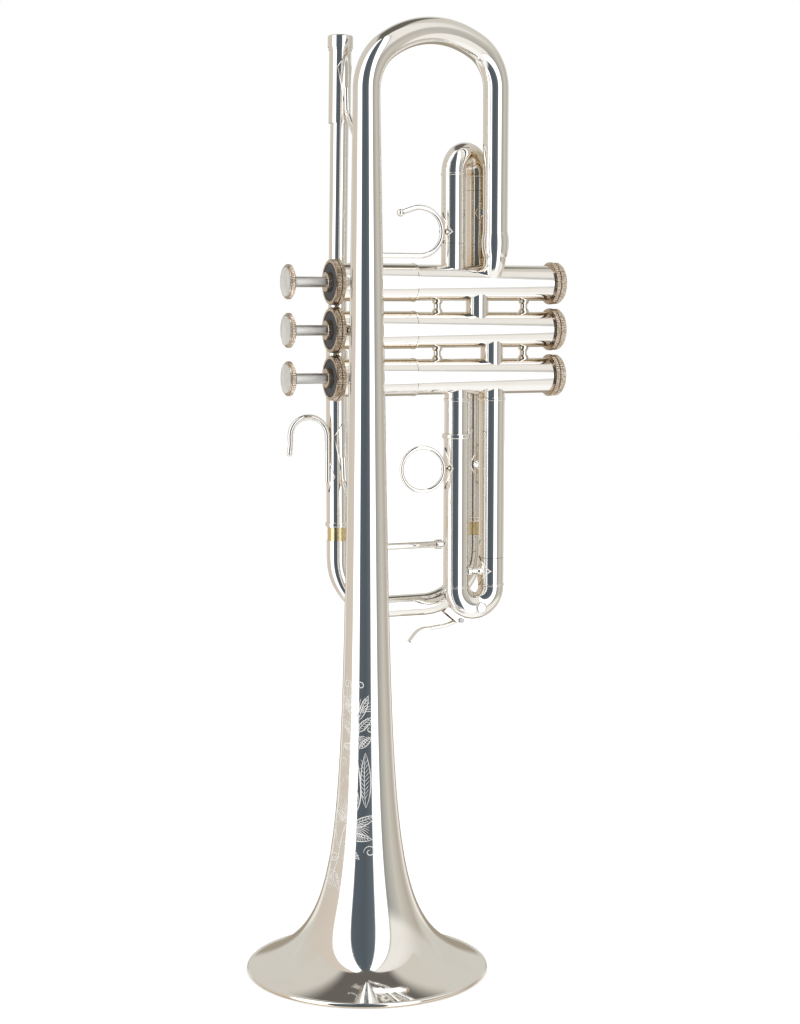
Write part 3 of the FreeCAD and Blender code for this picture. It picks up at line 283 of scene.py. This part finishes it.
def studio_floor():
    """Round sheet of white paper just under the bell's mouth, lit a little from below."""
    mesh = bpy.data.meshes.new("studio_floor")
    shape = bmesh.new()
    bmesh.ops.create_circle(shape, cap_ends=True, segments=96, radius=FLOOR_RADIUS)
    shape.to_mesh(mesh)
    shape.free()
    floor = bpy.data.objects.new("studio_floor", mesh)
    scene.collection.objects.link(floor)
    floor.location.z = -FLOOR_DROP
    floor.visible_glossy = False
    material = bpy.data.materials.new("studio_paper")
    material.use_nodes = True
    g = Graph(material.node_tree)
    paper = g.add("ShaderNodeBsdfDiffuse")
    grain = g.noise(40, 2)
    g.link(g.mix(grain, (0.93, 0.93, 0.93), (0.95, 0.95, 0.95)), paper.inputs["Color"])
    glow = g.add("ShaderNodeEmission")
    glow.inputs["Color"].default_value = (1, 1, 1, 1)
    glow.inputs["Strength"].default_value = 0.5
    both = g.add("ShaderNodeAddShader")
    g.link(paper.outputs[0], both.inputs[0])
    g.link(glow.outputs[0], both.inputs[1])
    out = g.add("ShaderNodeOutputMaterial")
    g.link(both.outputs[0], out.inputs["Surface"])
    mesh.materials.append(material)


studio_world()
studio_floor()


# ---------------------------------------------------------------- materials

CREVICE_REACH = 0.012
# Dark brown put into the deepest crevices: painted shade together with tarnish.
CREVICE_TARNISH_AND_SHADE = (0.16, 0.11, 0.06)


def principled(name):
    """New material with one shader, and the helper that fills it."""
    material = bpy.data.materials.new(name)
    material.use_nodes = True
    g = Graph(material.node_tree)
    shader = g.add("ShaderNodeBsdfPrincipled")
    out = g.add("ShaderNodeOutputMaterial")
    g.link(shader.outputs[0], out.inputs["Surface"])
    return material, g, shader


def bump(g, height, distance, strength):
    node = g.add("ShaderNodeBump")
    node.inputs["Distance"].default_value = distance
    node.inputs["Strength"].default_value = strength
    g.link(height, node.inputs["Height"])
    return node


def tint_with_tarnish_and_painted_shade(g, clean, warm, warm_amount, grime):
    """Colour of a metal: warmer in random tarnish patches, warmer in crevices as tarnish and painted
    reflection, darkened where deepest as tarnish and painted shade.
    """
    patches = g.range(g.noise(38, 5, 0.6), 0.5, 0.78, 0.0, warm_amount)
    # Painted shade and reflection: ambient occlusion finds the crevices, which are tinted warm and
    # darkened towards dark brown where deepest, together with tarnish.
    hidden = g.add("ShaderNodeAmbientOcclusion", samples=6)
    hidden.inputs["Distance"].default_value = CREVICE_REACH
    crevice = g.range(hidden.outputs["AO"], 0.10, 0.80, 1.0, 0.0)
    mask = g.math("MAXIMUM", patches, g.math("MULTIPLY", crevice, 0.9))
    deep = g.range(hidden.outputs["AO"], 0.02, 0.30, 0.8, 0.0)
    tinted = g.mix(mask, clean, warm)
    if grime:
        scale, dirt = grime
        speckle = g.add("ShaderNodeTexVoronoi")
        speckle.inputs["Scale"].default_value = scale
        g.link(g.add("ShaderNodeTexCoord").outputs["Object"], speckle.inputs["Vector"])
        tinted = g.mix(g.range(speckle.outputs["Distance"], 0.25, 0.5, 0.0, 1.0), tinted, dirt)
    return g.mix(deep, tinted, CREVICE_TARNISH_AND_SHADE)


def metal(name, clean, warm, roughness, spread, warm_amount, wave, brushed=None, grime=None):
    """Polished or brushed metal with an uneven polish and faint waves."""
    material, g, shader = principled(name)
    shader.inputs["Metallic"].default_value = 1.0
    g.link(tint_with_tarnish_and_painted_shade(g, clean, warm, warm_amount, grime), shader.inputs["Base Color"])
    polish = g.range(g.noise(120, 4, 0.6), 0.35, 0.75, roughness, roughness + spread)
    g.link(polish, shader.inputs["Roughness"])
    wave_scale, wave_strength = wave
    surface = bump(g, g.noise(wave_scale, 2, 0.4), 0.001, wave_strength)
    if brushed:
        scratch_scale, stretch = brushed
        scratch = bump(g, g.noise(scratch_scale, 3, 0.7, stretch), 0.0001, 0.35)
        g.link(surface.outputs[0], scratch.inputs["Normal"])
        surface = scratch
    g.link(surface.outputs[0], shader.inputs["Normal"])
    return material


SILVER = (0.965, 0.955, 0.935)
# Warm tint for the silver's random tarnish patches and its crevices, where it also stands in for painted
# inter-reflection between neighbouring parts.
WARM_TARNISH_AND_REFLECTION = (0.70, 0.52, 0.28)
silver = metal("silver_plate", SILVER, WARM_TARNISH_AND_REFLECTION, 0.035, 0.04, 0.10, (22, 0.012))
silver_knurl = metal("silver_knurl", (0.90, 0.86, 0.81), (0.55, 0.42, 0.30), 0.20, 0.12, 0.35,
                     (60, 0.04), grime=(1300, (0.50, 0.40, 0.30)))
brass = metal("bare_brass", (0.83, 0.70, 0.42), (0.62, 0.46, 0.22), 0.10, 0.12, 0.5, (40, 0.05),
              (900, (1, 1, 14)))
nickel = metal("nickel_alloy", (0.64, 0.64, 0.635), (0.58, 0.56, 0.53), 0.34, 0.06, 0.08, (60, 0.01),
               (900, (0.05, 1, 1)))
steel = metal("spring_steel", (0.56, 0.57, 0.59), (0.42, 0.40, 0.38), 0.22, 0.10, 0.3, (80, 0.05))


def soft(name, first, second, scale, roughness, depth, sheen=0.0):
    """Felt, cork, pearl or an engraved cut with painted glint: mottled colour over a rough or polished
    face.
    """
    material, g, shader = principled(name)
    pattern = g.noise(scale, 6, 0.65)
    g.link(g.mix(g.range(pattern, 0.35, 0.65, 0, 1), first, second), shader.inputs["Base Color"])
    g.link(g.range(pattern, 0.3, 0.7, roughness, roughness + 0.1), shader.inputs["Roughness"])
    shader.inputs["Sheen Weight"].default_value = sheen
    g.link(bump(g, pattern, depth, 0.6).outputs[0], shader.inputs["Normal"])
    return material


# Painted glint: the engraved cuts get a near-white diffuse colour that stands in for light glinting off
# the cut facets.
glint_painted_cuts = soft("engraved_silver", (0.90, 0.88, 0.85), (0.97, 0.965, 0.95), 400, 0.35, 0.00002)
felt = soft("black_felt", (0.012, 0.012, 0.014), (0.035, 0.035, 0.04), 1800, 0.85, 0.0003, 0.4)
cork = soft("cork_sheet", (0.42, 0.27, 0.15), (0.66, 0.46, 0.29), 900, 0.75, 0.0002)
pearl = soft("pearl_inlay", (0.60, 0.60, 0.575), (0.68, 0.665, 0.64), 160, 0.12, 0.00002)

SLOTS = {"silver_plate": silver, "bare_brass": brass, "nickel_alloy": nickel, "spring_steel": steel,
         "pearl": pearl, "felt": felt, "cork": cork}

for part in frame["record"]["subparts"]:
    node = nodes[part["node"]]
    material = SLOTS[part["material_slot"]]
    if not node.material_slots:
        node.data.materials.append(material)
    for slot in node.material_slots:
        slot.material = material
KNURLED = ("valve_top_caps", "valve_bottom_caps",
           "finger_button_1", "finger_button_2", "finger_button_3")
for name in KNURLED:
    nodes[name].material_slots[0].material = silver_knurl


# ---------------------------------------------------------------- bell sheet

STEM_TOP = 0.441
TAIL = Vector((0.08145, 0.022, 0))
TAIL_RADIUS = 0.0065
TAIL_END = 0.3787
CROWN_PLACE = 0.49
BOW_HEIGHTS = (0.4611, 0.4881, 0.4666)
BOW_BENDS = (0.027, 0.059, 0.0228)
WALL = 0.0005
RIM_RADIUS = 0.0606
BEAD_RADIUS = 0.0013
BEAD_HEIGHT = 0.00118
BEAD_STEPS = 28
FLARE_FOOT = 0.00198
FLARE_STEPS = 120
FLARE_CROWDING = 2.2
BOW_STEPS = 24
TAIL_RINGS = (0.03, 0.002, 0.0001, 0)
SAME_PLACE = 1e-6
SLOPE_STEP = 1e-5
ROUND = 144
TURNS = [2 * math.pi * k / ROUND for k in range(ROUND)]


def bell_radius(height):
    """Outer radius of the bell at a height above its mouth."""
    return (0.0141 - 0.0164 * height + 0.023 * math.exp(-height / 0.043)
            + 0.0289 * math.exp(-height / 0.0126))


def bow_line():
    """Points of the bow's centre line and its lean there, as far out and as high as they are."""
    corners = [Vector((0, STEM_TOP)), Vector((0, BOW_HEIGHTS[0])),
               Vector((TAIL.length * CROWN_PLACE, BOW_HEIGHTS[1])),
               Vector((TAIL.length, BOW_HEIGHTS[2])), Vector((TAIL.length, TAIL_END))]
    line = [(corners[0], 0.0)]
    for before, corner, after, bend in zip(corners, corners[1:], corners[2:], BOW_BENDS):
        into = (corner - before).normalized()
        away = (after - corner).normalized()
        turn = into.angle(away)
        first = corner - into * (bend * math.tan(turn / 2))
        lean = math.atan2(into.x, into.y)
        centre = first + Vector((math.cos(lean), -math.sin(lean))) * bend
        for step in range(BOW_STEPS + 1):
            now = lean + turn * step / BOW_STEPS
            line.append((centre - Vector((math.cos(now), -math.sin(now))) * bend, now))
    line += [(corners[-1] + Vector((0, rise)), math.pi) for rise in TAIL_RINGS]
    return line


def bell_sections():
    """Centre, lean from upright and radius of each ring, from the flare's foot to the tail's end."""
    out = TAIL.normalized()
    up = Vector((0, 0, 1))
    sections = []
    for i in range(FLARE_STEPS + 1):
        height = FLARE_FOOT + (STEM_TOP - FLARE_FOOT) * (i / FLARE_STEPS) ** FLARE_CROWDING
        sections.append((up * height, 0.0, bell_radius(height)))
    bow = bow_line()
    total = sum((b[0] - a[0]).length for a, b in zip(bow, bow[1:]))
    run = 0.0
    start = bell_radius(STEM_TOP)
    for (before, _), (here, lean) in zip(bow, bow[1:]):
        step = (here - before).length
        if step < SAME_PLACE:
            continue
        run += step
        radius = start + (TAIL_RADIUS - start) * run / total
        sections.append((out * here.x + up * here.y, lean, radius))
    return sections


def sheet_loops():
    """Rings of points up the outside of the sheet and back down its inside."""
    out = TAIL.normalized()
    across = Vector((-out.y, out.x, 0))
    up = Vector((0, 0, 1))
    sections = bell_sections()

    def loop(centre, lean, radius):
        flat = out * math.cos(lean) - up * math.sin(lean)
        return [centre + (flat * math.cos(a) + across * math.sin(a)) * radius for a in TURNS]

    outside = [loop(*section) for section in sections]
    inside = []
    for centre, lean, radius in sections:
        if lean == 0.0:
            rise = bell_radius(centre.z + SLOPE_STEP) - bell_radius(centre.z - SLOPE_STEP)
            slope = rise / (2 * SLOPE_STEP)
            tilt = math.hypot(1, slope)
            centre = centre + up * (WALL * slope / tilt)
            inside.append(loop(centre, lean, radius - WALL / tilt))
        else:
            inside.append(loop(centre, lean, radius - WALL))
    return outside + inside[::-1]


def rim_bead():
    """Rings of points round the rolled rim, flat where it rests on the floor."""
    rings = []
    for i in range(BEAD_STEPS):
        around = 2 * math.pi * i / BEAD_STEPS
        radius = RIM_RADIUS + BEAD_RADIUS * math.cos(around)
        height = max(0.0, BEAD_HEIGHT + BEAD_RADIUS * math.sin(around))
        rings.append([Vector((radius * math.cos(a), radius * math.sin(a), height)) for a in TURNS])
    return rings


def add_skin(shape, rings):
    """Faces between each ring and the next, and between the last and the first."""
    rows = [[shape.verts.new(point) for point in ring] for ring in rings]
    for near, far in zip(rows, rows[1:] + rows[:1]):
        for k in range(ROUND):
            after = (k + 1) % ROUND
            shape.faces.new((near[k], near[after], far[after], far[k]))


def smooth_bell():
    """The bell's sheet and rolled rim, as fine as its reflections need."""
    shape = bmesh.new()
    add_skin(shape, sheet_loops())
    add_skin(shape, rim_bead())
    bmesh.ops.recalc_face_normals(shape, faces=shape.faces)
    mesh = bpy.data.meshes.new("bell_sheet")
    shape.to_mesh(mesh)
    shape.free()
    for face in mesh.polygons:
        face.use_smooth = True
    mesh.materials.append(silver)
    piece = bpy.data.objects.new("bell_sheet", mesh)
    scene.collection.objects.link(piece)
    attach(piece, "horn")
    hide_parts("bell")


smooth_bell()


# ---------------------------------------------------------------- bell engraving

ENGRAVING_CENTRE = math.radians(-136)
CUT_HEIGHT = 0.00003
CUT_WIDTH = 1.3
CUT_TIP = 0.12
STEM_CUT = 0.5
SCROLL_CUT = 0.38
OUTLINE_CUT = 0.34
MIDRIB_CUT = 0.26
RAY_CUT = 0.22
VEIN_CUT = 0.17
SCROLL_STEPS = 24
FEATHERS = 46


def on_bell(across, height):
    """Point on the bell, given as a distance round it and a height, in millimetres."""
    height = height / 1000
    radius = bell_radius(height)
    angle = ENGRAVING_CENTRE + across / 1000 / radius
    radius += CUT_HEIGHT
    return Vector((radius * math.cos(angle), radius * math.sin(angle), height))


def bezier(start, first, second, end, steps=14):
    """Points of a cubic curve in the flat drawing."""
    controls = (start, first, second, end)
    points = []
    for i in range(steps + 1):
        t = i / steps
        weights = ((1 - t) ** 3, 3 * t * (1 - t) ** 2, 3 * t * t * (1 - t), t ** 3)
        points.append(sum((w * p for w, p in zip(weights, controls)), Vector((0, 0))))
    return points


def spot(across, height):
    return Vector((across, height))


class Engraving:
    """Tapered bright cuts drawn flat in millimetres and laid on the bell."""

    def __init__(self):
        self.shape = bmesh.new()

    def cut(self, points, width):
        last = len(points) - 1
        rows = []
        for i, here in enumerate(points):
            way = points[min(i + 1, last)] - points[max(i - 1, 0)]
            side = Vector((-way.y, way.x)).normalized()
            swell = math.sin(math.pi * (0.06 + 0.88 * i / last)) ** 0.8
            half = width * CUT_WIDTH / 2 * max(CUT_TIP, swell)
            edges = (here - side * half, here + side * half)
            rows.append([self.shape.verts.new(on_bell(*edge)) for edge in edges])
        for near, far in zip(rows, rows[1:]):
            self.shape.faces.new((near[0], near[1], far[1], far[0]))

    def leaf(self, root, tip, width, veins):
        along = tip - root
        side = Vector((-along.y, along.x)).normalized() * width
        bend = side * 0.25
        for sign in (-1, 1):
            belly = root + along * 0.3 + side * sign
            shoulder = root + along * 0.7 + side * sign * 0.7
            self.cut(bezier(root, belly, shoulder, tip), OUTLINE_CUT)
        midrib = bezier(root, root + along * 0.35 + bend, root + along * 0.65 + bend, tip, 10)
        self.cut(midrib, MIDRIB_CUT)
        for i in range(veins):
            place = 0.16 + 0.62 * i / max(1, veins - 1)
            reach = 0.62 * math.sin(math.pi * (place * 0.8 + 0.12))
            rib = root + along * place + bend * 0.6
            for sign in (-1, 1):
                end = rib + along * 0.10 + side * sign * reach
                dip = rib.lerp(end, 0.3) - along * 0.01
                self.cut(bezier(rib, dip, rib.lerp(end, 0.7), end, 4), VEIN_CUT)

    def scroll(self, centre, radius, start, turns, sense):
        points = []
        for i in range(SCROLL_STEPS + 1):
            t = i / SCROLL_STEPS
            reach = radius * (1 - 0.78 * t)
            angle = math.radians(start) + sense * turns * 2 * math.pi * t
            points.append(centre + Vector((math.cos(angle), math.sin(angle))) * reach)
        self.cut(points, SCROLL_CUT)

    def fan(self, root, heading, length, count, spread):
        for i in range(count):
            angle = math.radians(heading + spread * (i / (count - 1) - 0.5))
            reach = length * (1 - 0.25 * abs(i / (count - 1) - 0.5))
            way = Vector((math.cos(angle), math.sin(angle)))
            curl = Vector((-way.y, way.x)) * (0.12 * reach)
            tip = way * reach
            ray = bezier(root + way * 0.8, root + tip * 0.4 + curl, root + tip * 0.7 + curl, root + tip, 8)
            self.cut(ray, RAY_CUT)

    def finish(self):
        mesh = bpy.data.meshes.new("bell_engraving")
        self.shape.to_mesh(mesh)
        self.shape.free()
        mesh.materials.append(glint_painted_cuts)
        piece = bpy.data.objects.new("bell_engraving", mesh)
        scene.collection.objects.link(piece)
        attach(piece, "horn")


def feathers(drawing, chance):
    """Short curved strokes in bunches down the left of the vine."""
    for step in range(FEATHERS):
        height = 52 + 100 * step / (FEATHERS - 1)
        reach = 12 if height < 85 else 8
        root = spot(chance.uniform(-reach - 4, -reach + 6), height)
        heading = math.radians(chance.uniform(60, 170))
        length = chance.uniform(2.5, 6.0)
        way = Vector((math.cos(heading), math.sin(heading))) * length
        curl = Vector((-way.y, way.x)) * chance.uniform(-0.25, 0.25)
        drawing.cut(bezier(root, root + way * 0.35 + curl, root + way * 0.7 + curl, root + way, 8),
                    chance.uniform(0.2, 0.42))


def engrave_bell():
    """Generic vine with leaves, scrolls and rayed cuts up the front of the bell."""
    drawing = Engraving()
    stems = [
        (spot(-17, 46), spot(-4, 60), spot(-12, 74), spot(0, 84)),
        (spot(0, 84), spot(6, 92), spot(2, 104), spot(0, 118)),
        (spot(0, 118), spot(4, 130), spot(-2, 142), spot(-4, 153)),
        (spot(-10, 66), spot(-16, 76), spot(-12, 88), spot(-10, 98)),
    ]
    for stem in stems:
        drawing.cut(bezier(*stem, steps=24), STEM_CUT)
    leaves = [
        (spot(6, 88), spot(5, 116), 4.0, 9), (spot(2, 90), spot(-4, 104), 2.6, 6),
        (spot(-2, 78), spot(12, 84), 3.2, 7), (spot(-4, 74), spot(10, 72), 3.0, 7),
        (spot(-6, 70), spot(4, 62), 2.6, 6), (spot(-8, 62), spot(-20, 60), 3.0, 7),
        (spot(-12, 54), spot(-22, 48), 2.6, 6), (spot(-12, 56), spot(-6, 45), 2.6, 6),
        (spot(-4, 80), spot(-15, 88), 3.0, 7), (spot(0, 126), spot(8, 134), 2.8, 6),
        (spot(0, 124), spot(-9, 132), 2.8, 6), (spot(1, 132), spot(6, 145), 2.6, 6),
        (spot(-1, 134), spot(-9, 144), 2.6, 6), (spot(2, 118), spot(8, 124), 2.2, 5),
        (spot(-1, 118), spot(-9, 119), 2.4, 5),
    ]
    for root, tip, width, veins in leaves:
        drawing.leaf(root, tip, width, veins)
    for centre, radius, start, turns, sense in (
            (spot(-14, 80), 3.4, 20, 1.4, 1), (spot(9, 66), 3.2, 190, 1.3, -1),
            (spot(-8, 110), 2.8, 300, 1.4, 1), (spot(7, 128), 2.8, 200, 1.3, -1),
            (spot(-6, 150), 2.6, 330, 1.4, 1), (spot(2, 150), 2.2, 200, 1.2, -1)):
        drawing.scroll(centre, radius, start, turns, sense)
    for root, heading, length, count, spread in (
            (spot(-2, 84), 150, 10, 13, 120), (spot(0, 78), 330, 9, 11, 100),
            (spot(-16, 62), 200, 8, 11, 100), (spot(-14, 52), 250, 8, 11, 110),
            (spot(2, 136), 60, 8, 9, 110), (spot(-3, 140), 150, 8, 11, 120),
            (spot(0, 124), 300, 7, 9, 110), (spot(-12, 74), 160, 7, 9, 110)):
        drawing.fan(root, heading, length, count, spread)
    feathers(drawing, random.Random(7))
    drawing.finish()


engrave_bell()
